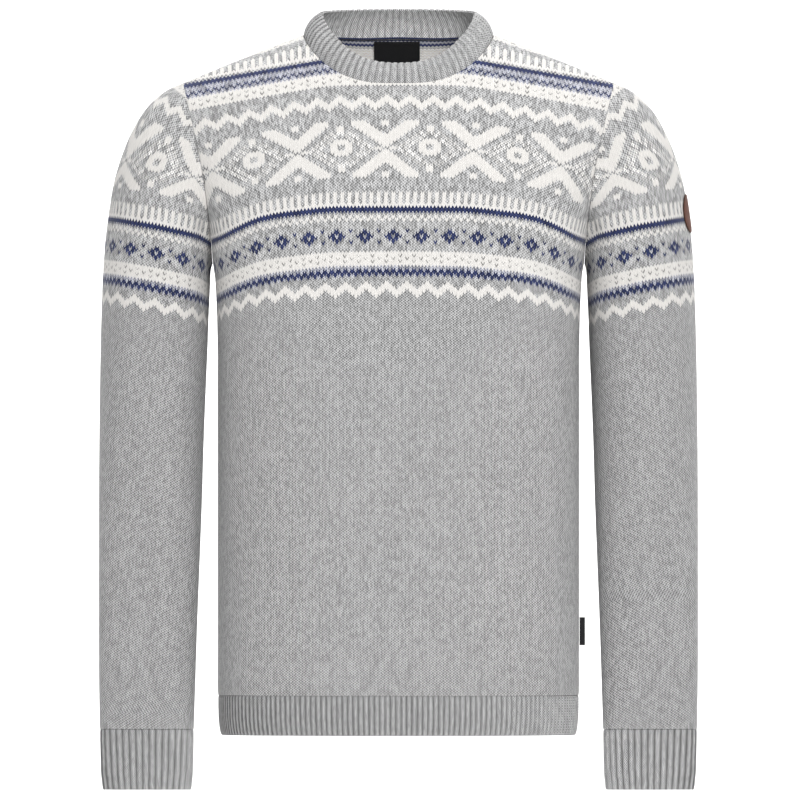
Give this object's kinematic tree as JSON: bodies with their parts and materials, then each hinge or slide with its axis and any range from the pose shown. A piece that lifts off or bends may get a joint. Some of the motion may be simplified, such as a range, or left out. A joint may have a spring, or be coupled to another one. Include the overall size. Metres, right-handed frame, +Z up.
{
  "type": "nordic yoke sweater",
  "caption": "Hollow knitted pullover with a colour-patterned yoke, long sleeves, round ribbed neckband, ribbed hem and cuffs, filled out as worn.",
  "frame": {"origin": "middle of the neck opening, level with the shoulder beside the neckband, where the wearer holds it up", "axes": "+Z up through the neck, -Y out of the front, +X towards the wearer's left"},
  "size_m": [0.587, 0.233, 0.7639],
  "materials": {
    "front_panel": "melange grey stockinette with colour-knitted yoke bands",
    "back_panel": "melange grey stockinette with colour-knitted yoke bands",
    "left_sleeve": "melange grey stockinette with colour-knitted bands at the top",
    "right_sleeve": "melange grey stockinette with colour-knitted bands at the top",
    "collar": "melange grey ribbing",
    "hem_rib": "melange grey ribbing",
    "left_cuff": "melange grey ribbing",
    "right_cuff": "melange grey ribbing",
    "neck_label": "black woven ribbon, bare",
    "side_tag": "black woven ribbon folded over, bare",
    "sleeve_patch": "brown leather disc, bare"
  },
  "bodies": {
    "root": {"front_panel": "front_panel", "back_panel": "back_panel", "left_sleeve": "left_sleeve", "right_sleeve": "right_sleeve", "collar": "collar", "hem_rib": "hem_rib", "left_cuff": "left_cuff", "right_cuff": "right_cuff", "neck_label": "neck_label", "side_tag": "side_tag", "sleeve_patch": "sleeve_patch"}
  },
  "joints": []
}
